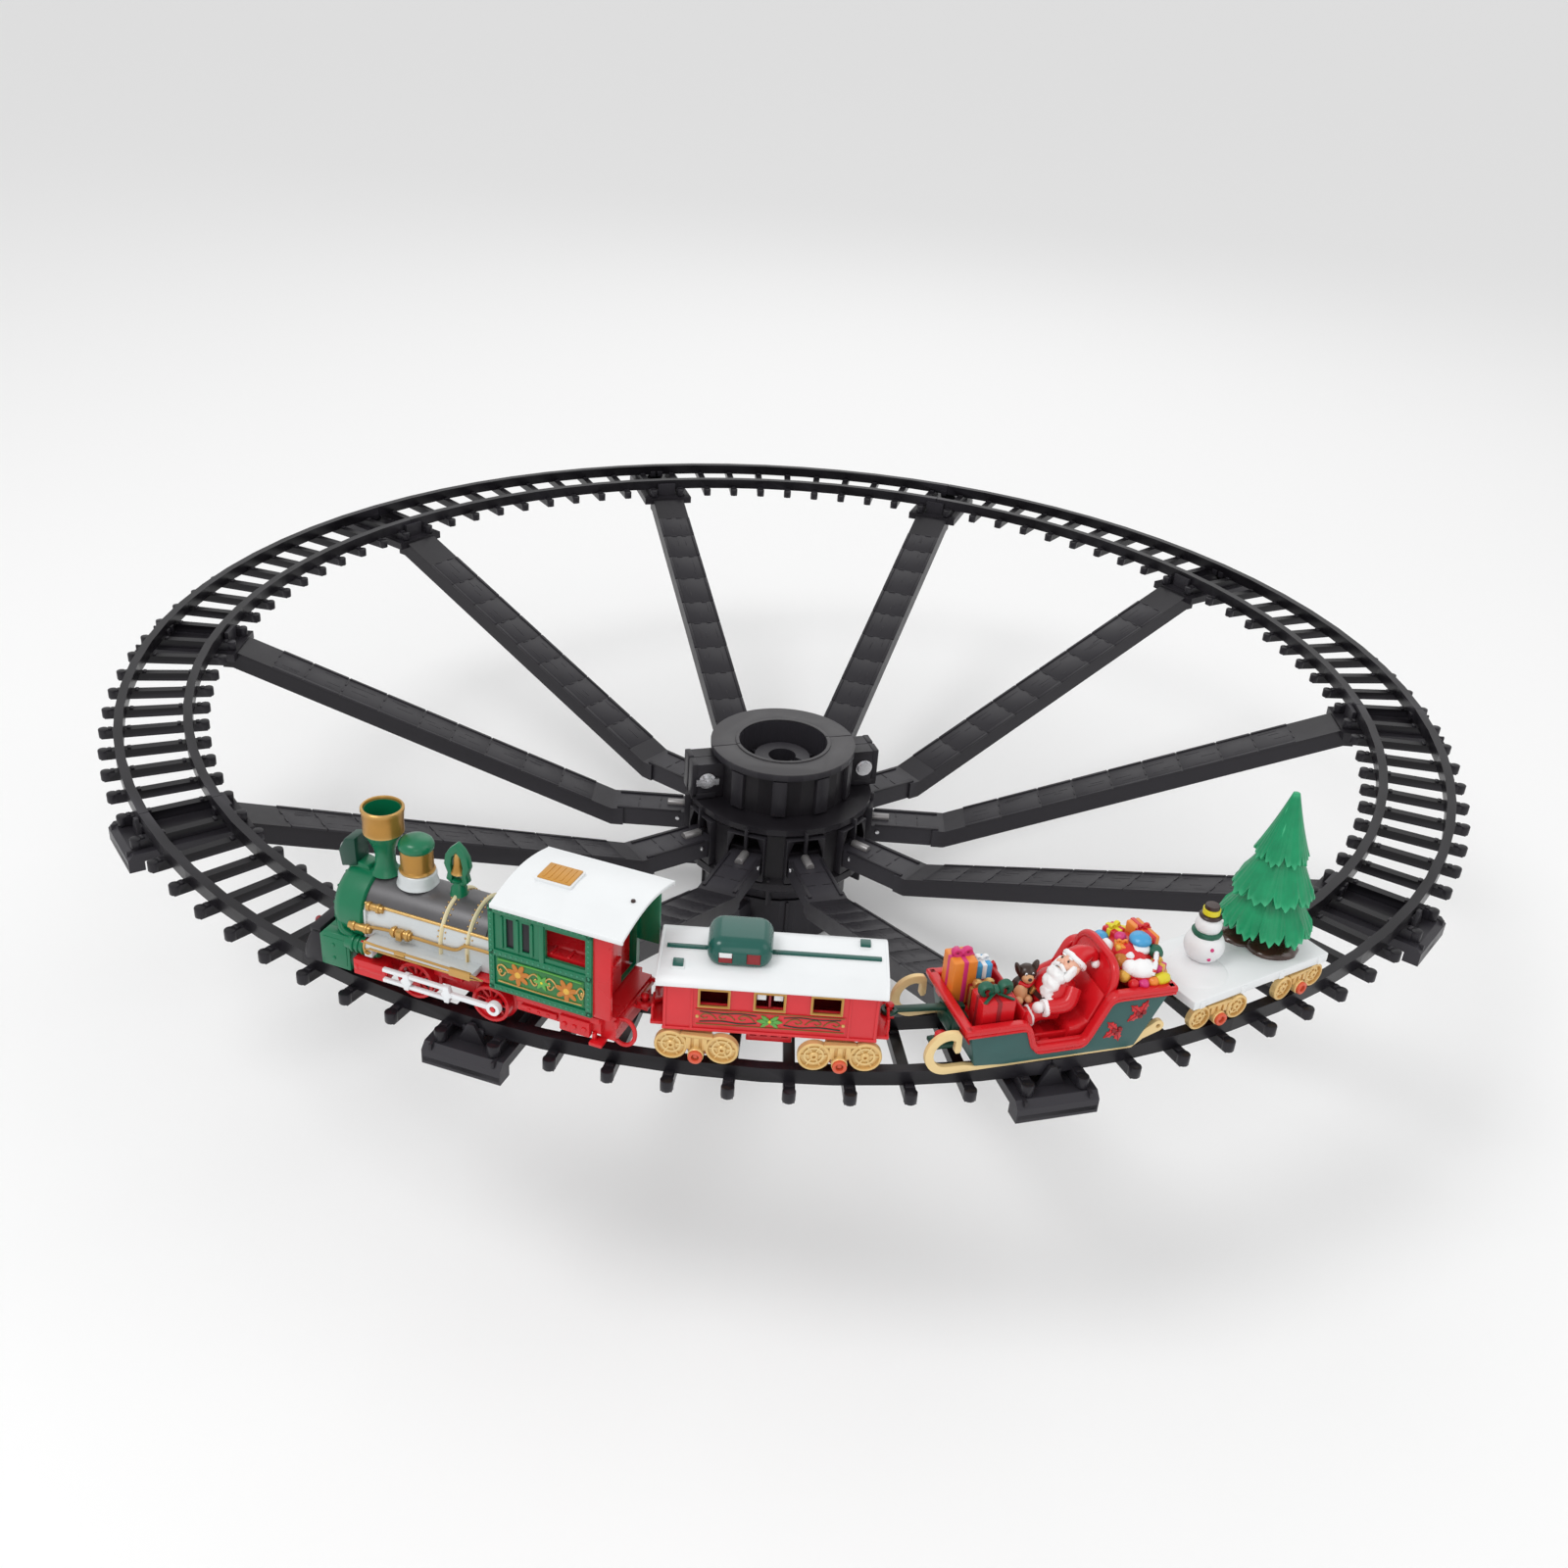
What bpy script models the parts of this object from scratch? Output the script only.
"""Electric train set: a ring track on ten arms, held by a pole hub, and a holiday train of four vehicles.

Sizes are in millimetres and MM turns them into Blender's metres. The frame's origin is on the hub's axis
at the hub's lower face. Each vehicle has its own frame on the rail head: +X forwards, +Y away from the
ring's centre, +Z up.
"""
import math

import bmesh
import bpy
from mathutils import Matrix, Vector

MM = 0.001
GAP = 0.3

# ring track
RAIL_TOP = 181.0
TRACK_RADIUS = 379.0
RAIL_INNER_FACE = 16.0
RAIL_OUTER_FACE = 21.0
RAIL_HEIGHT = 7.3
SLEEPER_TOP = -6.3
SLEEPER_BOTTOM = -11.3
SLEEPER_HALF_LENGTH = 28.5
SLEEPER_WIDTH = 5.0
ARM_COUNT = 10
ARM_STEP = 360.0 / ARM_COUNT
SLEEPERS_PER_ARM_STEP = 10
SECTION_COUNT = 5
RAIL_STEPS = 16
SECTION_JOINT_GAP = 0.4

# hub
HUB_TOP = 126.0
HUB_BORE = 28.5
HUB_SIDES = 30
COLLAR_RADIUS = 44.0
HUB_SPLIT_AZIMUTH = 18.0
CLAMP_RING_TOP = 33.7
CLAMP_RING_SPLIT_AZIMUTH = 240.0
SLEEVE_OUTER = 18.0
SLEEVE_INNER = 9.0
EAR_BOLT_RADIUS = 53.0
EAR_BOLT_HEIGHT = 108.0

# arms
TONGUE_INNER_END = 42.0
TONGUE_TOP = 74.0
TONGUE_BOTTOM = 62.0
ARM_KINK = 110.0
ARM_OUTER_END = 352.0
ARM_HALF_WIDTH = 12.5
ARM_THICKNESS = 12.0
SADDLE_TOP = RAIL_TOP + SLEEPER_BOTTOM - GAP
SADDLE_THICKNESS = 5.0
SADDLE_HALF_WIDTH = 19.0
SADDLE_OUTER_END = 412.0

# vehicles: azimuth of the middle of the wheelbase, and half the wheelbase
LOCO = {"azimuth": 250.5, "half_wheelbase": 18.5}
COACH = {"azimuth": 270.4, "half_wheelbase": 28.2}
SLEIGH = {"azimuth": 288.6, "half_wheelbase": 22.0}
FLATCAR = {"azimuth": 303.6, "half_wheelbase": 24.0}

DRIVE_WHEEL_RADIUS = 9.0
CRANK_OFFSET = (-4.1, 1.9)
SMALL_WHEEL_RADIUS = 4.3
FLANGE_HEIGHT = 1.1
BOILER_RADIUS = 16.5
BOILER_CENTRE = 29.5
COUPLER_PIN_TOP = 21.0
COUPLER_BAR = (15.0, 16.7)
COUPLER_RING = (17.1, 19.0)
DECK_TOP = 17.2

AXIS_MATRIX = {
    "Z": Matrix.Identity(4),
    "Y": Matrix(((1, 0, 0, 0), (0, 0, 1, 0), (0, 1, 0, 0), (0, 0, 0, 1))),
    "X": Matrix(((0, 0, 1, 0), (1, 0, 0, 0), (0, 1, 0, 0), (0, 0, 0, 1))),
}

COLOURS = {
    "black_plastic": ((0.018, 0.017, 0.019), 0.32, 0.0),
    "green_plastic": ((0.012, 0.15, 0.065), 0.35, 0.0),
    "red_plastic": ((0.62, 0.012, 0.015), 0.3, 0.0),
    "white_plastic": ((0.86, 0.87, 0.87), 0.35, 0.0),
    "gold_plastic": ((0.66, 0.40, 0.12), 0.32, 0.6),
    "silver_plastic": ((0.42, 0.42, 0.43), 0.35, 0.3),
    "brown_plastic": ((0.06, 0.022, 0.012), 0.3, 0.0),
    "leaf_plastic": ((0.02, 0.27, 0.10), 0.45, 0.0),
    "steel": ((0.62, 0.62, 0.64), 0.25, 1.0),
}


# scene, materials and objects


def clear_scene():
    for old in list(bpy.data.objects):
        bpy.data.objects.remove(old, do_unlink=True)


def new_collection(name):
    collection = bpy.data.collections.new(name)
    bpy.context.scene.collection.children.link(collection)
    return collection


def new_material(slot, node_name):
    colour, roughness, metallic = COLOURS[slot]
    material = bpy.data.materials.new(f"{node_name}_{slot}")
    material.use_nodes = True
    shader = material.node_tree.nodes["Principled BSDF"]
    shader.inputs["Base Color"].default_value = (*colour, 1.0)
    shader.inputs["Roughness"].default_value = roughness
    shader.inputs["Metallic"].default_value = metallic
    return material


def new_empty(name, location, turn_degrees, parent=None):
    empty = bpy.data.objects.new(name, None)
    empty.location = Vector(location) * MM
    empty.rotation_euler.z = math.radians(turn_degrees)
    empty.parent = parent
    PARTS.objects.link(empty)
    return empty


# shapes: each returns a closed bmesh in metres


def finished(bm, matrix=None):
    """Weld a shape, place it, and turn its faces out."""
    bmesh.ops.remove_doubles(bm, verts=bm.verts, dist=1e-6)
    if matrix is not None:
        bmesh.ops.transform(bm, matrix=matrix, verts=bm.verts)
    bmesh.ops.recalc_face_normals(bm, faces=bm.faces)
    return bm


def box(x0, x1, y0, y1, z0, z1):
    bm = bmesh.new()
    bmesh.ops.create_cube(bm, size=1.0)
    centre = Vector((x0 + x1, y0 + y1, z0 + z1)) / 2
    size = Vector((x1 - x0, y1 - y0, z1 - z0))
    matrix = Matrix.Translation(centre * MM) @ Matrix.Diagonal((*(size * MM), 1.0))
    return finished(bm, matrix)


def rod(axis, radius, start, end, at=(0.0, 0.0), sides=20, end_radius=None):
    """A cylinder or cone along an axis. at is its place on the other two axes, in X, Y, Z order."""
    bm = bmesh.new()
    tip = radius if end_radius is None else end_radius
    length = (end - start) * MM
    bmesh.ops.create_cone(
        bm, cap_ends=True, segments=sides, radius1=radius * MM, radius2=tip * MM, depth=length
    )
    lift = Matrix.Translation((at[0] * MM, at[1] * MM, (start + end) / 2 * MM))
    return finished(bm, AXIS_MATRIX[axis] @ lift)


def ball(centre, radii, sides=16, rings=10):
    bm = bmesh.new()
    bmesh.ops.create_uvsphere(bm, u_segments=sides, v_segments=rings, radius=1.0)
    place = Matrix.Translation(Vector(centre) * MM)
    return finished(bm, place @ Matrix.Diagonal((*(Vector(radii) * MM), 1.0)))


def evaluated_mesh(item):
    """The mesh of a temporary object with its modifiers, as a bmesh. The object is removed."""
    PARTS.objects.link(item)
    graph = bpy.context.evaluated_depsgraph_get()
    mesh = bpy.data.meshes.new_from_object(item.evaluated_get(graph))
    bm = bmesh.new()
    bm.from_mesh(mesh)
    data = item.data
    bpy.data.objects.remove(item, do_unlink=True)
    bpy.data.batch_remove([mesh, data])
    return bm


def prism(axis, outline, start, end, holes=()):
    """A flat outline pushed along an axis. The outline's points are on the other two axes."""
    curve = bpy.data.curves.new("outline", "CURVE")
    curve.dimensions = "2D"
    curve.fill_mode = "BOTH"
    curve.extrude = abs(end - start) / 2 * MM
    for loop in (outline, *holes):
        spline = curve.splines.new("POLY")
        spline.points.add(len(loop) - 1)
        for point, (u, v) in zip(spline.points, loop):
            point.co = (u * MM, v * MM, 0.0, 1.0)
        spline.use_cyclic_u = True
    bm = evaluated_mesh(bpy.data.objects.new("outline", curve))
    lift = Matrix.Translation((0.0, 0.0, (start + end) / 2 * MM))
    return finished(bm, AXIS_MATRIX[axis] @ lift)


def turned(profile, axis="Z", at=(0.0, 0.0, 0.0), sides=24, ring=False):
    """A profile of (radius, height) points turned about an axis through at."""
    mesh = bpy.data.meshes.new("profile")
    edges = [(i, i + 1) for i in range(len(profile) - 1)]
    if ring:
        edges.append((len(profile) - 1, 0))
    mesh.from_pydata([(r * MM, 0.0, h * MM) for r, h in profile], edges, [])
    item = bpy.data.objects.new("profile", mesh)
    screw = item.modifiers.new("turn", "SCREW")
    screw.axis = "Z"
    screw.steps = sides
    screw.render_steps = sides
    screw.use_merge_vertices = True
    screw.merge_threshold = 0.00001
    bm = evaluated_mesh(item)
    return finished(bm, Matrix.Translation(Vector(at) * MM) @ AXIS_MATRIX[axis])


def turned_to(bm, azimuth):
    """Turn a shape about the hub's axis."""
    bmesh.ops.rotate(bm, cent=(0, 0, 0), matrix=Matrix.Rotation(math.radians(azimuth), 3, "Z"), verts=bm.verts)
    return bm


def merged_mesh(name, shapes):
    mesh = bpy.data.meshes.new(name)
    bm = bmesh.new()
    for shape in shapes:
        part = bpy.data.meshes.new("part")
        shape.to_mesh(part)
        shape.free()
        bm.from_mesh(part)
        bpy.data.meshes.remove(part)
    bm.to_mesh(mesh)
    bm.free()
    return mesh


def add_boolean(item, name, shapes, operation):
    """Join or cut an object with shapes kept in a hidden object of their own."""
    cutter = bpy.data.objects.new(name, merged_mesh(name, shapes))
    cutter.parent = item
    cutter.hide_render = True
    cutter.display_type = "WIRE"
    CUTTERS.objects.link(cutter)
    modifier = item.modifiers.new(operation.lower(), "BOOLEAN")
    modifier.operation = operation
    modifier.solver = "EXACT"
    modifier.use_self = True
    modifier.object = cutter


def solid(name, slot, shapes, cuts=(), parent=None, at=(0.0, 0.0, 0.0), turn=0.0, bevel=0.0):
    """One closed piece: the shapes joined, then the cuts taken away."""
    mesh = merged_mesh(name, shapes[:1])
    mesh.shade_smooth()
    mesh.set_sharp_from_angle(angle=math.radians(40))
    item = bpy.data.objects.new(name, mesh)
    item.parent = parent
    item.location = Vector(at) * MM
    item.rotation_euler.z = math.radians(turn)
    mesh.materials.append(new_material(slot, name))
    PARTS.objects.link(item)
    if bevel:
        rounding = item.modifiers.new("rounding", "BEVEL")
        rounding.width = bevel * MM
        rounding.segments = 2
    if len(shapes) > 1:
        add_boolean(item, f"{name}_joins", shapes[1:], "UNION")
    if cuts:
        add_boolean(item, f"{name}_cuts", list(cuts), "DIFFERENCE")
    return item


def arc_points(radius, start, end, steps, centre=(0.0, 0.0)):
    points = []
    for i in range(steps + 1):
        angle = math.radians(start + (end - start) * i / steps)
        points.append((centre[0] + radius * math.cos(angle), centre[1] + radius * math.sin(angle)))
    return points


def mirrored(outline):
    return [(-u, v) for u, v in reversed(outline)]


# the hub, its clamps and the pole sleeve


def hub_half(name, side):
    """Half of the hub, on one side of the split plane. side is +1 for the rear half and -1 for the front."""
    body = turned(
        [
            (HUB_BORE, 36.0), (46.0, 34.0), (50.0, 37.0), (62.0, 50.0), (62.0, 55.0), (58.0, 57.0),
            (58.0, 88.0), (60.0, 90.0), (60.0, 94.0), (COLLAR_RADIUS, 95.0), (COLLAR_RADIUS, 121.0),
            (47.0, 122.0), (47.0, HUB_TOP), (HUB_BORE, HUB_TOP),
        ],
        sides=HUB_SIDES, ring=True,
    )
    ears = []
    holes = []
    for azimuth in (HUB_SPLIT_AZIMUTH, HUB_SPLIT_AZIMUTH + 180.0):
        ears.append(turned_to(box(38.0, 62.0, -11.0, 11.0, 95.5, 119.5), azimuth))
        holes.append(turned_to(rod("Y", 2.3, -14.0, 14.0, (EAR_BOLT_RADIUS, EAR_BOLT_HEIGHT), 10), azimuth))
    collar_hollow = turned([(32.0, 98.0), (41.0, 98.0), (41.0, 121.0), (32.0, 121.0)], sides=HUB_SIDES, ring=True)
    foot_hollow = turned([(32.0, 38.5), (46.0, 38.5), (57.0, 51.0), (57.0, 58.0), (32.0, 58.0)],
                         sides=HUB_SIDES, ring=True)
    cuts = [collar_hollow, foot_hollow, *holes]
    for k in range(ARM_COUNT):
        azimuth = k * ARM_STEP
        cuts.append(turned_to(box(32.0, 75.0, -11.5, 11.5, TONGUE_BOTTOM - GAP, TONGUE_TOP + GAP), azimuth))
        window = prism("X", [(-11.0, 77.0), (11.0, 77.0), (8.0, 87.0), (-8.0, 87.0)], 48.0, 75.0)
        cuts.append(turned_to(window, azimuth))
    away = box(-80.0, 80.0, -side * 80.0, side * GAP, -10.0, 140.0)
    cuts.append(turned_to(away, HUB_SPLIT_AZIMUTH))
    return solid(name, "black_plastic", [body, *ears], cuts)


def clamp_ring():
    body = turned(
        [(HUB_BORE, 0.0), (46.5, 0.0), (48.0, 2.0), (48.0, CLAMP_RING_TOP), (HUB_BORE, CLAMP_RING_TOP)],
        sides=HUB_SIDES, ring=True,
    )
    hollow = turned([(32.0, 3.0), (45.0, 3.0), (45.0, 40.0), (32.0, 40.0)], sides=20, ring=True)
    ears = turned_to(box(40.0, 60.0, -11.0, 11.0, 4.0, 31.0), CLAMP_RING_SPLIT_AZIMUTH)
    slit = turned_to(box(20.0, 70.0, -2.0, 2.0, -5.0, 45.0), CLAMP_RING_SPLIT_AZIMUTH)
    hole = turned_to(rod("Y", 2.3, -14.0, 14.0, (53.0, 18.0), 10), CLAMP_RING_SPLIT_AZIMUTH)
    return solid("lower_clamp_ring", "black_plastic", [body, ears], [hollow, slit, hole])


def pole_sleeve():
    tube = rod("Z", SLEEVE_OUTER, 8.0, 116.0, sides=28)
    webs = [turned_to(box(12.0, HUB_BORE - GAP - 0.2, -1.5, 1.5, 20.0, 108.0), 45.0 + 90.0 * k) for k in range(4)]
    bore = rod("Z", SLEEVE_INNER, 0.0, 130.0, sides=24)
    slot = turned_to(box(5.0, 24.0, -2.5, 2.5, 60.0, 130.0), 330.0)
    return solid("pole_sleeve", "black_plastic", [tube, *webs], [bore, slot])


def wing_bolt(name, azimuth):
    """A bolt through a pair of ears, with a round head and a wing nut. Its origin is on its axis."""
    angle = math.radians(azimuth)
    place = (EAR_BOLT_RADIUS * math.cos(angle), EAR_BOLT_RADIUS * math.sin(angle), EAR_BOLT_HEIGHT)
    shank = rod("Y", 1.8, -14.0, 15.5, sides=12)
    head = rod("Y", 4.5, -14.0, -11.4, sides=12)
    nut = rod("Y", 3.6, 11.4, 14.5, sides=12)
    wings = box(-7.5, 7.5, 12.0, 14.0, -2.2, 2.2)
    return solid(name, "steel", [shank, head, nut, wings], at=place, turn=azimuth)


# arms and track


def arm(name, azimuth):
    """An arm: inner tongue, sloping channel beam, saddle plate, clips and end block, in one moulding."""
    slope = (SADDLE_TOP - TONGUE_TOP) / (ARM_OUTER_END - ARM_KINK)
    inner_end = ARM_KINK + 8.0
    outer_end = ARM_OUTER_END - 8.0
    beam = prism(
        "Y",
        [
            (ARM_KINK - 8.0, TONGUE_BOTTOM), (ARM_KINK - 8.0, TONGUE_TOP), (ARM_KINK, TONGUE_TOP),
            (ARM_OUTER_END, SADDLE_TOP), (ARM_OUTER_END + 6.0, SADDLE_TOP - 1.0),
            (ARM_OUTER_END + 6.0, SADDLE_TOP - ARM_THICKNESS), (ARM_OUTER_END, SADDLE_TOP - ARM_THICKNESS),
            (ARM_KINK, TONGUE_BOTTOM),
        ],
        -ARM_HALF_WIDTH, ARM_HALF_WIDTH,
    )
    tongue = box(TONGUE_INNER_END, ARM_KINK, -10.8, 10.8, TONGUE_BOTTOM, TONGUE_TOP)
    saddle = box(ARM_OUTER_END - 4.0, SADDLE_OUTER_END - 6.0, -SADDLE_HALF_WIDTH, SADDLE_HALF_WIDTH,
                 SADDLE_TOP - SADDLE_THICKNESS, SADDLE_TOP)
    block = prism(
        "Y",
        [
            (SADDLE_OUTER_END - 8.0, SADDLE_TOP - 10.0), (SADDLE_OUTER_END, SADDLE_TOP - 10.0),
            (SADDLE_OUTER_END, SADDLE_TOP - 3.0), (SADDLE_OUTER_END - 3.0, SADDLE_TOP),
            (SADDLE_OUTER_END - 8.0, SADDLE_TOP),
        ],
        -SADDLE_HALF_WIDTH, SADDLE_HALF_WIDTH,
    )
    outer_clip = prism(
        "X", [(-7.5, SADDLE_TOP - 2.0), (7.5, SADDLE_TOP - 2.0), (1.5, RAIL_TOP - 2.0), (-1.5, RAIL_TOP - 2.0)],
        TRACK_RADIUS + RAIL_OUTER_FACE + 0.6, TRACK_RADIUS + RAIL_OUTER_FACE + 2.6,
    )
    inner_clip = box(TRACK_RADIUS - RAIL_OUTER_FACE - 3.2, TRACK_RADIUS - RAIL_OUTER_FACE - 0.8, -7.0, 7.0,
                     SADDLE_TOP - 2.0, RAIL_TOP - 2.5)
    under = -ARM_THICKNESS - 2.0
    channel = prism(
        "Y",
        [
            (inner_end, TONGUE_TOP + (inner_end - ARM_KINK) * slope - 2.5),
            (outer_end, TONGUE_TOP + (outer_end - ARM_KINK) * slope - 2.5),
            (outer_end, TONGUE_TOP + (outer_end - ARM_KINK) * slope + under),
            (inner_end, TONGUE_TOP + (inner_end - ARM_KINK) * slope + under),
        ],
        -ARM_HALF_WIDTH + 2.0, ARM_HALF_WIDTH - 2.0,
    )
    return solid(name, "black_plastic", [beam, tongue, saddle, block, outer_clip, inner_clip], [channel], turn=azimuth)


def rail(inner_radius, outer_radius, sweep, steps):
    outline = arc_points(outer_radius, 0.0, sweep, steps) + arc_points(inner_radius, sweep, 0.0, steps)
    return prism("Z", outline, RAIL_TOP - RAIL_HEIGHT, RAIL_TOP)


def track_section(name, azimuth):
    """Two curved track lengths clipped end to end: both rails and their sleepers."""
    sweep = 360.0 / SECTION_COUNT
    joint = math.degrees(SECTION_JOINT_GAP / TRACK_RADIUS)
    pitch = ARM_STEP / SLEEPERS_PER_ARM_STEP
    sleepers = round(sweep / pitch)
    shapes = []
    for inner, outer in ((RAIL_INNER_FACE, RAIL_OUTER_FACE), (-RAIL_OUTER_FACE, -RAIL_INNER_FACE)):
        shapes.append(rail(TRACK_RADIUS + inner, TRACK_RADIUS + outer, sweep - joint, RAIL_STEPS))
    for k in range(sleepers):
        sleeper = box(TRACK_RADIUS - SLEEPER_HALF_LENGTH, TRACK_RADIUS + SLEEPER_HALF_LENGTH,
                      -SLEEPER_WIDTH / 2, SLEEPER_WIDTH / 2, RAIL_TOP + SLEEPER_BOTTOM, RAIL_TOP + SLEEPER_TOP)
        shapes.append(turned_to(sleeper, (k + 0.5) * pitch - joint / 2))
    return solid(name, "black_plastic", shapes, turn=azimuth + joint / 2)


# shared vehicle parts


def vehicle_frame(name, vehicle):
    """An empty on the rail head, midway between a vehicle's axles or bogies, which lie on the track's centre."""
    reach = math.sqrt(TRACK_RADIUS**2 - vehicle["half_wheelbase"] ** 2)
    angle = math.radians(vehicle["azimuth"])
    place = (reach * math.cos(angle), reach * math.sin(angle), RAIL_TOP)
    return new_empty(name, place, vehicle["azimuth"] - 90.0)


def into_frame(point, vehicle, other):
    """A point of one vehicle's frame, in another vehicle's frame, as (x, y)."""

    def placed(v):
        reach = math.sqrt(TRACK_RADIUS**2 - v["half_wheelbase"] ** 2)
        angle = math.radians(v["azimuth"])
        spot = Vector((reach * math.cos(angle), reach * math.sin(angle), 0.0))
        return Matrix.Translation(spot) @ Matrix.Rotation(angle - math.pi / 2, 4, "Z")

    there = placed(other).inverted() @ placed(vehicle) @ Vector((point[0], point[1], 0.0))
    return there.x, there.y


def rear_coupler(x_end, x_pin):
    """A drawbar behind a vehicle with an upright pin near its end."""
    bar = box(x_pin - 2.2, x_end + 2.0, -2.2, 2.2, *COUPLER_BAR)
    pin = rod("Z", 1.3, COUPLER_BAR[0] + 0.5, COUPLER_PIN_TOP, (x_pin, 0.0), 10)
    return [bar, pin]


def front_coupler(x_end, pin):
    """A bar in front of a vehicle that ends in a ring round the next vehicle's pin. Returns (shapes, hole)."""
    ring = rod("Z", 3.6, *COUPLER_RING, pin, 14)
    half = 1.8
    outline = [(x_end - 2.0, -half), (pin[0], pin[1] - half), (pin[0], pin[1] + half), (x_end - 2.0, half)]
    hole = rod("Z", 2.0, COUPLER_RING[0] - 2.0, COUPLER_RING[1] + 2.0, pin, 12)
    return [prism("Z", outline, *COUPLER_RING), ring], hole


def wheelset(name, slot, radius, tread, axle_radius, axle_half, parent, at, crank_pins=False, sides=20):
    """Axle and two flanged wheels, turned about the axle. tread is the wheel's span from the middle."""
    flange_face = tread[0] - 1.0
    outer = [(axle_radius, axle_half), (axle_radius, tread[1])] if axle_half > tread[1] else []
    end = max(axle_half, tread[1])
    half = [(0.0, end), *outer, (radius, tread[1]), (radius, tread[0]),
            (radius + FLANGE_HEIGHT, tread[0]), (radius + FLANGE_HEIGHT, flange_face), (axle_radius, flange_face)]
    profile = half + [(r, -h) for r, h in reversed(half)]
    shapes = [turned(profile, axis="Y", sides=sides)]
    if crank_pins:
        for side in (-1.0, 1.0):
            ends = sorted((side * (tread[1] - 1.0), side * 25.8))
            shapes.append(rod("Y", 1.1, *ends, CRANK_OFFSET, 10))
    return solid(name, slot, shapes, parent=parent, at=at)


def bogie(prefix, end, parent, x, top):
    """A gold bogie casting, square to the rails where it stands, and its single axle behind the castings."""
    disc = (top - 0.6) / 2
    reach = math.degrees(math.asin(x / TRACK_RADIUS))
    frame = new_empty(f"{prefix}_bogie_{end}_pivot", (x, 0.0, 0.0), -reach, parent)
    side_shapes = []
    for side in (-1.0, 1.0):
        face = sorted((side * 18.0, side * 21.0))
        boss = sorted((side * 20.5, side * 23.4))
        side_shapes.append(box(-6.2, 6.2, *face, 4.0, top - 0.7))
        side_shapes.append(rod("Y", 3.6, *boss, (0.0, SMALL_WHEEL_RADIUS), 10))
        for x_disc in (-10.7, 10.7):
            side_shapes.append(rod("Y", disc, *face, (x_disc, top - disc), 14))
    plate = box(-6.0, 6.0, -19.0, 19.0, top - 2.3, top - 0.7)
    holes = [rod("Z", 2.5, 8.0, 16.0, sides=12), rod("Y", 1.4, -26.0, 26.0, (0.0, SMALL_WHEEL_RADIUS), 10)]
    solid(f"{prefix}_bogie_{end}", "gold_plastic", [plate, *side_shapes], holes, parent=frame)
    wheelset(f"{prefix}_axle_{end}", "red_plastic", SMALL_WHEEL_RADIUS, (15.0, 17.5), 1.0, 22.8, frame,
             (0.0, 0.0, SMALL_WHEEL_RADIUS + 0.05), sides=12)


def bogie_pins(half_base, floor):
    return [rod("Z", 2.1, floor - 4.6, floor + 0.5, (x, 0.0), 12) for x in (-half_base, half_base)]


# locomotive


def boiler_outline(radius, bottom):
    """A round-topped section with straight sides, as (y, z) points."""
    return [(radius, bottom), *arc_points(radius, 0.0, 180.0, 14, (0.0, BOILER_CENTRE)), (-radius, bottom)]


def loco_chassis(frame):
    shapes = [
        box(-72.0, 45.4, -11.5, 11.5, 5.0, 18.5),
        box(-31.0, 45.4, -19.9, 19.9, 19.9, 21.4),
        box(-31.0, 45.4, -8.0, 8.0, 18.0, 20.4),
        box(-70.0, -31.0, -19.0, 19.0, 10.0, 19.0),
        box(-76.0, -69.0, -17.0, 17.0, 7.0, 19.0),
        box(-64.0, -24.0, -19.5, 19.5, 18.5, 44.0),
        rod("X", 19.5, -64.0, -24.0, (0.0, 31.0), 24),
        box(-66.6, -63.0, -3.0, 19.6, 18.5, 58.0),
        box(32.0, 44.0, -22.6, 22.6, 5.5, 13.2),
        box(43.0, 48.0, -22.6, -13.0, 5.5, 13.2),
        box(43.0, 48.0, 13.0, 22.6, 5.5, 13.2),
        *rear_coupler(-76.0, -81.0),
    ]
    cuts = [
        box(-62.0, -20.0, -17.5, 17.5, 20.8, 42.0),
        box(-54.0, -36.0, -4.0, 4.0, 4.0, 7.0),
    ]
    for x in (-LOCO["half_wheelbase"], LOCO["half_wheelbase"]):
        cuts.append(box(x - 2.1, x + 2.1, -13.0, 13.0, 3.0, DRIVE_WHEEL_RADIUS + 2.1))
    return solid("loco_chassis", "red_plastic", shapes, cuts, parent=frame)


def loco_front(frame):
    """Smokebox drum, headlamp, ribbed saddle pipes and pilot block, one green moulding."""
    drum = turned(
        [(0.0, 46.0), (18.0, 46.0), (18.0, 58.0), (15.5, 62.0), (8.0, 64.0), (0.0, 64.5)],
        axis="X", at=(0.0, 0.0, BOILER_CENTRE), sides=24,
    )
    shapes = [drum]
    shapes.append(prism("Y", [(55.0, 44.0), (62.0, 44.0), (64.5, 60.0), (59.0, 62.0)], -4.6, 4.6))
    shapes.append(box(50.0, 66.0, -15.6, 15.6, 10.2, 20.0))
    for side in (-1.0, 1.0):
        cheek = sorted((side * 14.0, side * 19.5))
        shapes.append(box(52.0, 67.0, *cheek, 3.0, 20.5))
        shapes.append(rod("X", 4.1, 37.5, 53.0, (side * 17.2, 17.4), 12))
    return solid("loco_front", "green_plastic", shapes, [box(30.0, 46.0, -21.9, 21.9, 19.0, 24.0)], parent=frame)


def cowcatcher(frame):
    wedge = prism("Y", [(52.0, 1.5), (76.0, 1.5), (74.0, 6.0), (52.0, 6.0)], -13.6, 13.6)
    toe = prism("Y", [(67.4, 1.5), (79.2, 1.5), (78.6, 8.0), (73.2, 20.2), (67.4, 20.2)], -18.6, 18.6)
    return solid("cowcatcher", "black_plastic", [wedge, toe], parent=frame)


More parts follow.
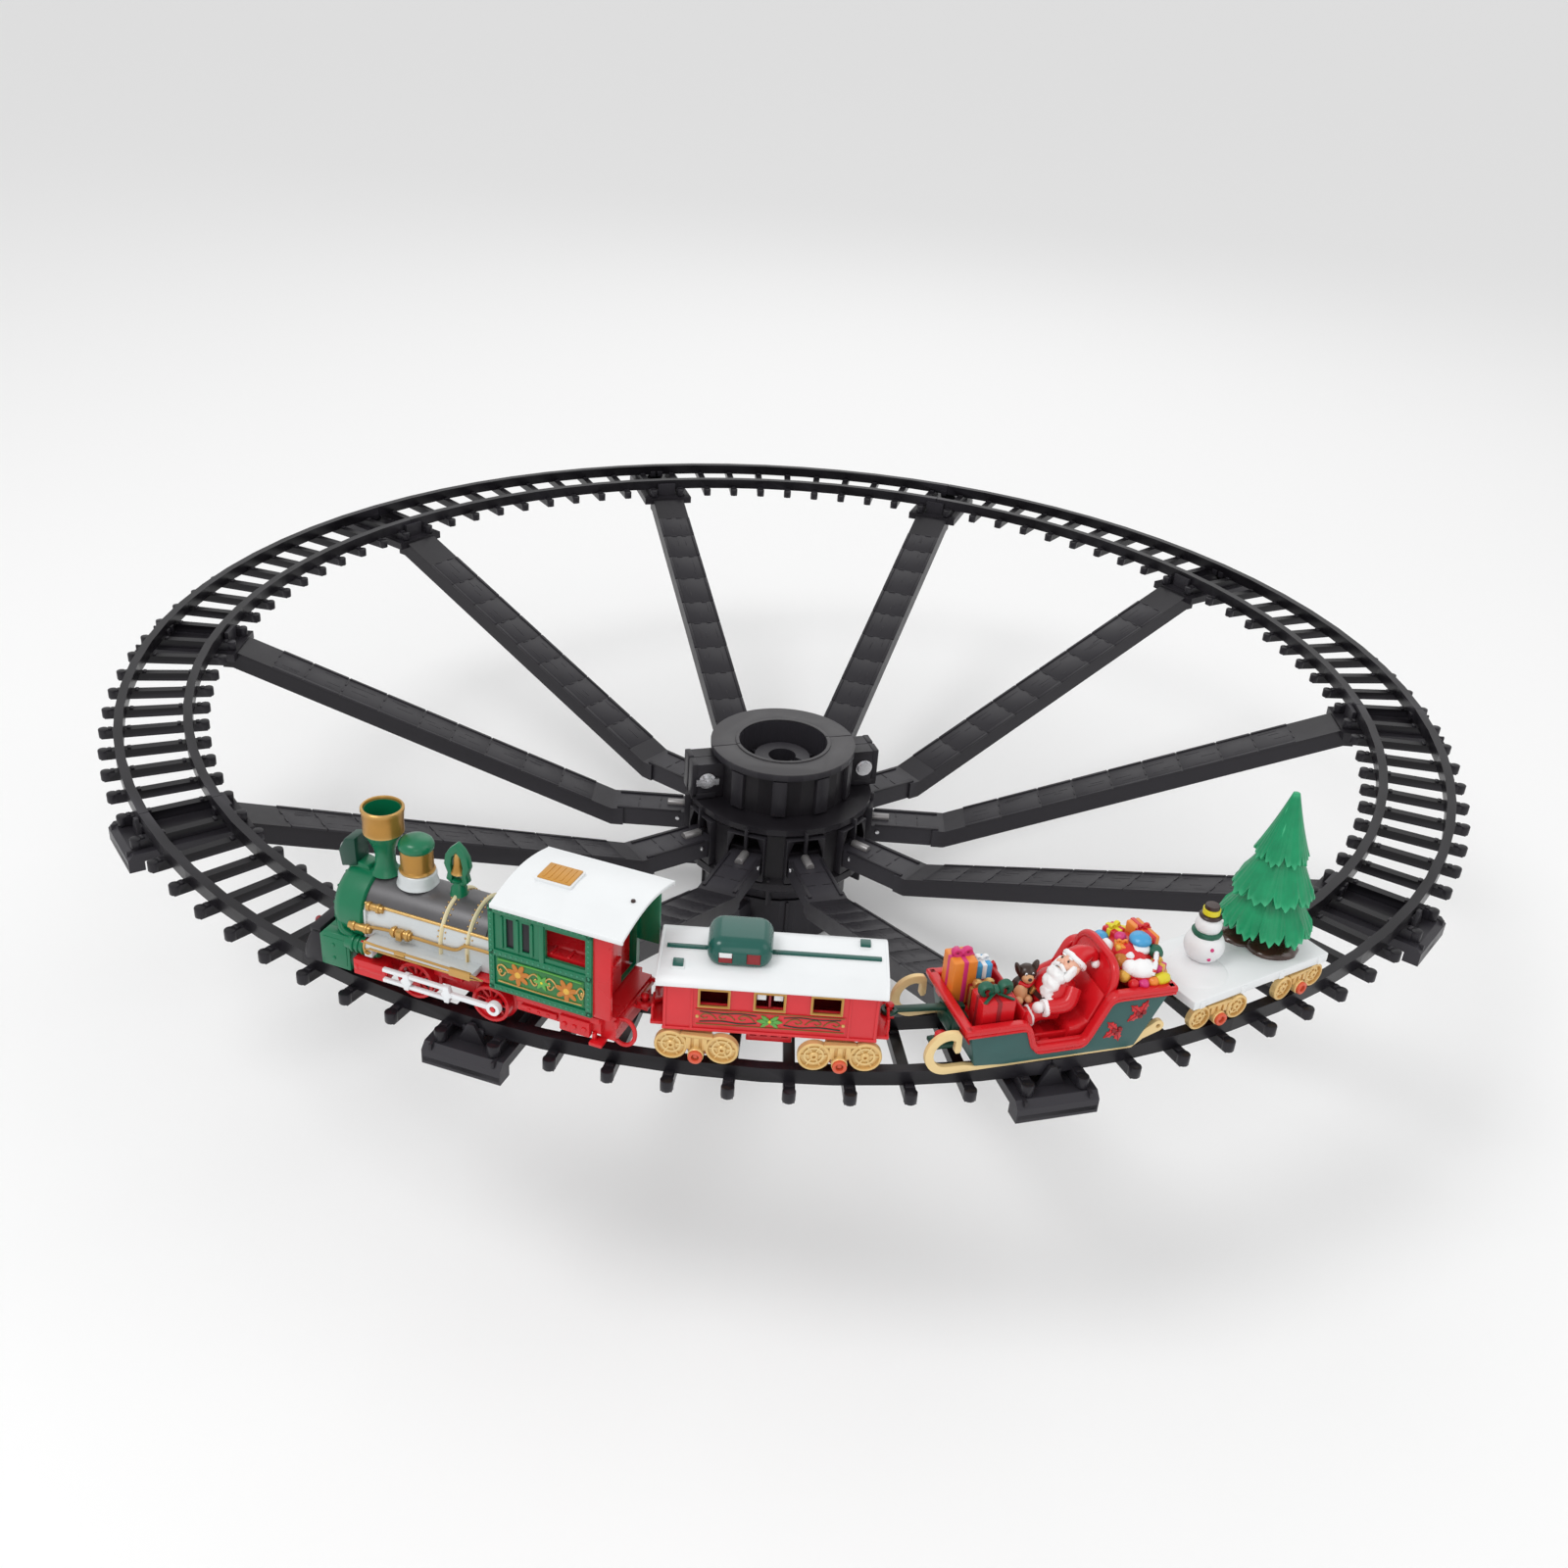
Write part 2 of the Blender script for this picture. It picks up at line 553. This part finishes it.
def boiler(frame):
    shell = prism("X", boiler_outline(BOILER_RADIUS, 21.8), -19.0, 45.6)
    boards = [box(-12.5, 41.0, *sorted((side * 15.0, side * 25.0)), 21.9, 25.4) for side in (-1.0, 1.0)]
    hollow = prism("X", boiler_outline(BOILER_RADIUS - 1.8, 18.0), -22.0, 44.0)
    return solid("boiler", "silver_plastic", [shell, *boards], [hollow], parent=frame)


def boiler_mountings(frame):
    foot = BOILER_CENTRE + BOILER_RADIUS + GAP
    funnel = [
        (0.0, foot + 1.5), (5.6, foot + 1.5), (4.4, 50.5), (4.4, 59.0), (8.4, 66.0), (8.8, 67.0), (9.1, 77.5),
        (8.6, 79.0), (7.6, 78.5), (7.4, 68.0), (0.0, 66.0),
    ]
    solid("chimney", "green_plastic", [turned(funnel, at=(44.0, 0.0, 0.0), sides=20)], parent=frame)
    dome = [
        (0.0, foot), (8.8, foot), (8.6, 51.0), (7.1, 52.0), (7.1, 62.6), (7.4, 63.2), (7.4, 65.4), (5.6, 67.4),
        (0.0, 68.2),
    ]
    solid("steam_dome", "gold_plastic", [turned(dome, at=(28.0, 0.0, 0.0), sides=20)], parent=frame)
    knob = ball((7.5, 0.0, foot + 3.2), (3.4, 3.2, 3.2), 12, 8)
    arch = prism("Y", [(2.5, 52.0), (12.5, 52.0), (13.5, 59.0), (11.5, 66.0), (7.5, 70.0), (3.5, 66.0), (1.5, 59.0)],
                 -1.6, 1.6, holes=[[(5.0, 54.0), (10.0, 54.0), (10.0, 58.0), (5.0, 58.0)]])
    neck = rod("Z", 2.0, 50.0, 53.0, (7.5, 0.0), 8)
    bell = turned([(0.0, 66.0), (1.8, 65.0), (2.2, 61.0), (3.2, 57.5), (0.0, 57.5)], at=(7.5, 0.0, 0.0), sides=10)
    solid("bell", "gold_plastic", [arch, knob, neck, bell], parent=frame)


def cab(frame):
    walls = box(-67.6, -19.6, -22.0, 22.0, 19.6, 61.9)
    inside = box(-70.0, -21.4, -20.2, 20.2, 15.0, 70.0)
    shaft_hole = rod("X", 9.0, -24.0, -18.0, (0.0, BOILER_CENTRE), 16)
    over_deck = box(-25.0, -15.0, -20.3, 20.3, 15.0, 21.8)
    cuts = [inside, shaft_hole, over_deck, box(-64.0, -46.0, -25.0, 25.0, 42.6, 57.0)]
    for x in (-29.6, -37.0):
        cuts.append(box(x - 1.6, x + 1.6, -25.0, 25.0, 42.4, 56.6))
    return solid("cab", "green_plastic", [walls], cuts, parent=frame)


def arched_outline(half_width, crown, drop, thickness, steps=10):
    """A shallow arched sheet's section, as (y, z) points."""
    ys = [half_width * (2.0 * i / steps - 1.0) for i in range(steps + 1)]
    top = [(y, crown - drop * (y / half_width) ** 2) for y in ys]
    return top + [(y, z - thickness) for y, z in reversed(top)]


def cab_roof(frame):
    sheet = prism("X", arched_outline(25.0, 68.0, 4.5, 2.1), -82.0, -22.0)
    hatch = box(-49.5, -33.0, -6.5, 6.5, 66.5, 69.6)
    return solid("cab_roof", "white_plastic", [sheet, hatch], parent=frame)


def drive_train(frame):
    motor = [box(-56.0, -33.0, -7.5, 7.5, 24.0, 36.0), rod("X", 9.8, -56.0, -33.0, (0.0, 31.0), 20),
             rod("X", 1.2, -61.0, -25.0, (0.0, 31.0), 10)]
    solid("motor", "steel", motor, parent=frame)
    cell = [rod("X", 7.1, -14.0, 35.0, (0.0, BOILER_CENTRE), 20), rod("X", 2.6, 34.0, 36.4, (0.0, BOILER_CENTRE), 12)]
    solid("battery_cell", "gold_plastic", cell, parent=frame)
    knob = [box(-52.0, -46.0, -3.2, 3.2, 3.0, 6.6), box(-51.2, -46.8, -2.4, 2.4, 2.0, 4.0)]
    solid("power_switch", "black_plastic", knob, parent=frame)


def side_rod(name, axle, side):
    """Connecting rod, slide bars and crossheads in one piece. Its origin is on the crank pin's axis."""
    face = sorted((side * 23.2, side * 25.2))
    shapes = [box(2.0, 23.0, *face, -1.1, 1.1)]
    for z in (-2.6, 2.6):
        shapes.append(box(22.0, 54.3, *face, z - 0.8, z + 0.8))
    for x in (22.6, 42.5):
        lozenge = [(x - 2.6, 0.0), (x - 1.0, 3.9), (x + 1.0, 3.9), (x + 2.6, 0.0), (x + 1.0, -3.9), (x - 1.0, -3.9)]
        shapes.append(prism("Y", lozenge, *face))
    shapes.append(rod("Y", 3.0, *face, sides=16))
    hole = rod("Y", 1.45, *sorted((side * 20.0, side * 28.0)), sides=14)
    at = (CRANK_OFFSET[0], 0.0, CRANK_OFFSET[1])
    return solid(name, "white_plastic", shapes, [hole], parent=axle, at=at)


def locomotive():
    frame = vehicle_frame("locomotive_frame", LOCO)
    loco_chassis(frame)
    loco_front(frame)
    cowcatcher(frame)
    boiler(frame)
    boiler_mountings(frame)
    cab(frame)
    cab_roof(frame)
    drive_train(frame)
    height = DRIVE_WHEEL_RADIUS + GAP
    half = LOCO["half_wheelbase"]
    wheelset("loco_front_axle", "red_plastic", DRIVE_WHEEL_RADIUS, (15.2, 20.5), 1.6, 20.5, frame, (half, 0.0, height))
    drive = wheelset("loco_drive_axle", "red_plastic", DRIVE_WHEEL_RADIUS, (15.2, 20.5), 1.6, 20.5, frame,
                     (-half, 0.0, height), crank_pins=True)
    side_rod("side_rod_outer", drive, 1.0)
    side_rod("side_rod_inner", drive, -1.0)


# passenger coach


def coach():
    frame = vehicle_frame("coach_frame", COACH)
    half = COACH["half_wheelbase"]
    bars, ring_hole = front_coupler(44.3, into_frame((-81.0, 0.0), LOCO, COACH))
    shapes = [
        box(-44.3, 44.3, -19.0, 19.0, 15.0, 37.4), box(-9.6, 9.6, -14.2, 14.2, 8.0, 15.5),
        *bogie_pins(half, 15.0), *bars, *rear_coupler(-44.3, -50.0),
    ]
    cuts = [box(-42.5, 42.5, -17.3, 17.3, 17.0, 45.0), ring_hole]
    for x in (-22.8, 0.6, 23.4):
        cuts.append(box(x - 6.0, x + 6.0, -25.0, 25.0, 29.0, 36.0))
    for x in (-6.6, -2.2, 2.2, 6.6):
        cuts.append(box(x - 1.4, x + 1.4, -20.0, 20.0, 10.6, 13.0))
    solid("coach_body", "red_plastic", shapes, cuts, parent=frame)
    crown = [(y, z) for y, z in ((21.0, 37.8), (21.0, 39.0), (17.5, 41.4), (13.0, 42.6))]
    solid("coach_roof", "white_plastic", [prism("X", crown + mirrored(crown), -47.4, 47.4)], parent=frame)
    solid("coach_cupola", "green_plastic", [box(0.7, 27.7, -12.5, 12.5, 42.9, 54.0)],
          [box(4.0, 11.0, -14.0, 14.0, 45.0, 50.5), box(16.5, 23.5, -14.0, 14.0, 45.0, 50.5)],
          parent=frame, bevel=2.5)
    bogie("coach", "front", frame, half, 14.6)
    bogie("coach", "rear", frame, -half, 14.6)


# sleigh car

SLEIGH_TOP = [(44.0, 19.5), (19.0, 19.5), (14.5, 6.5), (-10.6, 6.5), (-20.0, 28.5), (-46.0, 28.5)]


def sleigh_body(frame):
    bars, ring_hole = front_coupler(40.0, into_frame((-50.0, 0.0), COACH, SLEIGH))
    tub = prism("Y", [(40.9, 3.5), *SLEIGH_TOP, (-33.6, 2.4), (-30.0, 2.0), (27.0, 2.2)], -22.4, 22.4)
    lowered = [(x * 0.95, z - 2.6) for x, z in SLEIGH_TOP]
    under = prism("Y", [(37.5, 0.0), *lowered, (-32.0, 0.0)], -19.0, 19.0)
    hidden = [box(x - 1.6, x + 1.6, -21.6, 21.6, 0.0, SMALL_WHEEL_RADIUS + 1.7) for x in (-22.0, 22.0)]
    for side in (-1.0, 1.0):
        channel = sorted((side * 18.8, side * 21.6))
        hidden.append(box(-50.0, 50.0, *channel, 0.0, 3.2))
        hidden.append(box(-50.0, -29.0, *channel, 0.0, 8.4))
    solid("sleigh_tub", "green_plastic", [tub, *bars, *rear_coupler(-39.0, -49.5)],
          [under, ring_hole, *hidden], parent=frame)
    lower = [(x - math.copysign(GAP, x), z + GAP) for x, z in SLEIGH_TOP]
    upper = [(-48.0, 31.4), (-18.2, 31.4), (-9.0, 9.3), (13.0, 9.3), (17.4, 22.3), (46.6, 22.3)]
    liner = prism("Y", [*lower, *upper], -22.8, 22.8)
    seat_back = prism("Y", [(-18.5, 30.0), (-24.0, 30.0), (-26.0, 38.5), (-25.0, 40.5), (-22.6, 40.5), (-21.0, 38.5)],
                      -17.2, 17.2)
    solid("sleigh_rim", "red_plastic", [liner, seat_back], parent=frame)


def sleigh_runners(frame):
    """Both runners and the two cross bars that carry the tub."""
    outer_curl = arc_points(10.6, -90.0, 115.0, 10, (52.5, 11.1))
    inner_curl = arc_points(7.2, 115.0, -90.0, 8, (52.5, 11.1))
    outline = [(-33.0, 0.5), *outer_curl, *inner_curl, (41.5, 3.2), (37.5, 2.9), (-29.0, 2.9), (-31.5, 3.7),
               (-43.0, 11.6), (-45.5, 8.6)]
    shapes = [prism("Y", outline, 19.1, 21.3), prism("Y", outline, -21.3, -19.1)]
    for x in (-12.0, 12.0):
        shapes.insert(0, box(x - 2.0, x + 2.0, -20.5, 20.5, 0.6, 2.8))
    tie = box(-13.0, 13.0, -4.0, 4.0, 0.7, 2.7)
    return solid("sleigh_runners", "gold_plastic", [tie, *shapes], parent=frame)


def sleigh_load(frame):
    figure = [
        ball((-2.5, 0.0, 20.5), (9.5, 10.5, 10.7), 14, 8), ball((-8.0, 1.2, 33.5), (6.2, 6.2, 6.2), 12, 8),
        ball((6.0, -5.0, 14.0), (7.0, 4.0, 4.0), 10, 6), ball((6.0, 5.0, 14.0), (7.0, 4.0, 4.0), 10, 6),
        ball((-12.0, 2.2, 37.4), (5.2, 5.4, 5.0), 12, 8), ball((1.2, 4.0, 26.0), (3.8, 5.0, 6.4), 12, 8),
        ball((10.4, -2.8, 21.5), (4.6, 4.8, 5.8), 12, 8), ball((8.8, -3.2, 29.2), (4.4, 4.6, 4.4), 12, 8),
    ]
    solid("father_christmas", "red_plastic", figure, [box(-20.0, 20.0, -20.0, 20.0, 0.0, 9.8)], parent=frame)
    gifts = [
        box(31.2, 42.6, -17.2, -4.8, 22.7, 36.8), box(22.4, 37.8, 4.2, 17.0, 22.8, 30.6),
        box(22.6, 35.0, -16.8, 5.0, 22.9, 29.0), ball((30.1, 10.6, 32.0), (7.5, 3.6, 4.0), 12, 8),
    ]
    solid("gift_boxes", "red_plastic", gifts, parent=frame)
    heap = [ball((-36.8, 0.0, 32.5), (10.6, 19.0, 11.5)), ball((-42.5, -3.0, 38.5), (6.0, 10.0, 7.0), 12, 8)]
    solid("gift_sack", "white_plastic", heap, [box(-60.0, 0.0, -30.0, 30.0, 0.0, 31.8)], parent=frame)


def sleigh():
    frame = vehicle_frame("sleigh_frame", SLEIGH)
    sleigh_body(frame)
    sleigh_runners(frame)
    sleigh_load(frame)
    for end, x in (("front", SLEIGH["half_wheelbase"]), ("rear", -SLEIGH["half_wheelbase"])):
        wheelset(f"sleigh_axle_{end}", "black_plastic", SMALL_WHEEL_RADIUS, (15.0, 17.5), 1.0, 20.5, frame,
                 (x, 0.0, SMALL_WHEEL_RADIUS + 0.05), sides=12)


# flat car


def flat_car():
    frame = vehicle_frame("flatcar_frame", FLATCAR)
    half = FLATCAR["half_wheelbase"]
    bars, ring_hole = front_coupler(42.0, into_frame((-49.5, 0.0), SLEIGH, FLATCAR))
    deck = box(-42.0, 42.0, -21.0, 21.0, 12.8, DECK_TOP)
    lug = box(38.5, 42.0, -3.0, 3.0, 14.0, COUPLER_RING[1])
    solid("flatcar_deck", "white_plastic", [deck, lug, *bogie_pins(half, 12.8), *bars], [ring_hole], parent=frame)
    bogie("flatcar", "front", frame, half, 12.4)
    bogie("flatcar", "rear", frame, -half, 12.4)
    foot = DECK_TOP + GAP
    snow = [ball((15.0, -3.0, 25.0), (9.1, 9.1, 8.6)), ball((15.0, -3.0, 35.8), (6.0, 6.0, 5.6), 14, 8),
            rod("Z", 5.0, 39.8, 41.0, (15.0, -3.0), 14), rod("Z", 3.5, 40.4, 46.0, (15.0, -3.0), 14)]
    solid("snowman", "white_plastic", snow, [box(0.0, 30.0, -30.0, 30.0, 0.0, foot)], parent=frame)
    mound = [ball((-15.0, -9.0, foot), (11.5, 10.0, 3.8), 14, 8), ball((-21.5, 5.0, foot), (12.5, 11.5, 4.8), 14, 8),
             rod("Z", 3.2, foot + 1.0, 36.0, (-22.0, -2.0), 12)]
    solid("tree_mound", "brown_plastic", mound, [box(-50.0, 10.0, -30.0, 30.0, 0.0, foot)], parent=frame)
    tiers = turned(
        [(0.0, 94.0), (2.4, 92.4), (12.8, 63.0), (8.0, 65.5), (19.0, 44.0), (12.0, 47.0), (22.0, 26.5), (11.5, 32.0),
         (3.6, 32.0), (3.6, 37.0), (0.0, 37.0)], at=(-22.0, -2.0, 0.0), sides=16)
    solid("tree", "leaf_plastic", [tiers], parent=frame)


def ring_frame():
    hub_half("hub_front_half", -1.0)
    hub_half("hub_rear_half", 1.0)
    clamp_ring()
    pole_sleeve()
    wing_bolt("hub_bolt_right", HUB_SPLIT_AZIMUTH)
    wing_bolt("hub_bolt_left", HUB_SPLIT_AZIMUTH + 180.0)
    for k in range(ARM_COUNT):
        arm(f"arm_{k + 1:02d}", k * ARM_STEP)
    for k in range(SECTION_COUNT):
        track_section(f"track_{k + 1}", k * 360.0 / SECTION_COUNT)


clear_scene()
PARTS = new_collection("electric_train_set")
CUTTERS = new_collection("electric_train_set_cutters")
ring_frame()
locomotive()
coach()
sleigh()
flat_car()
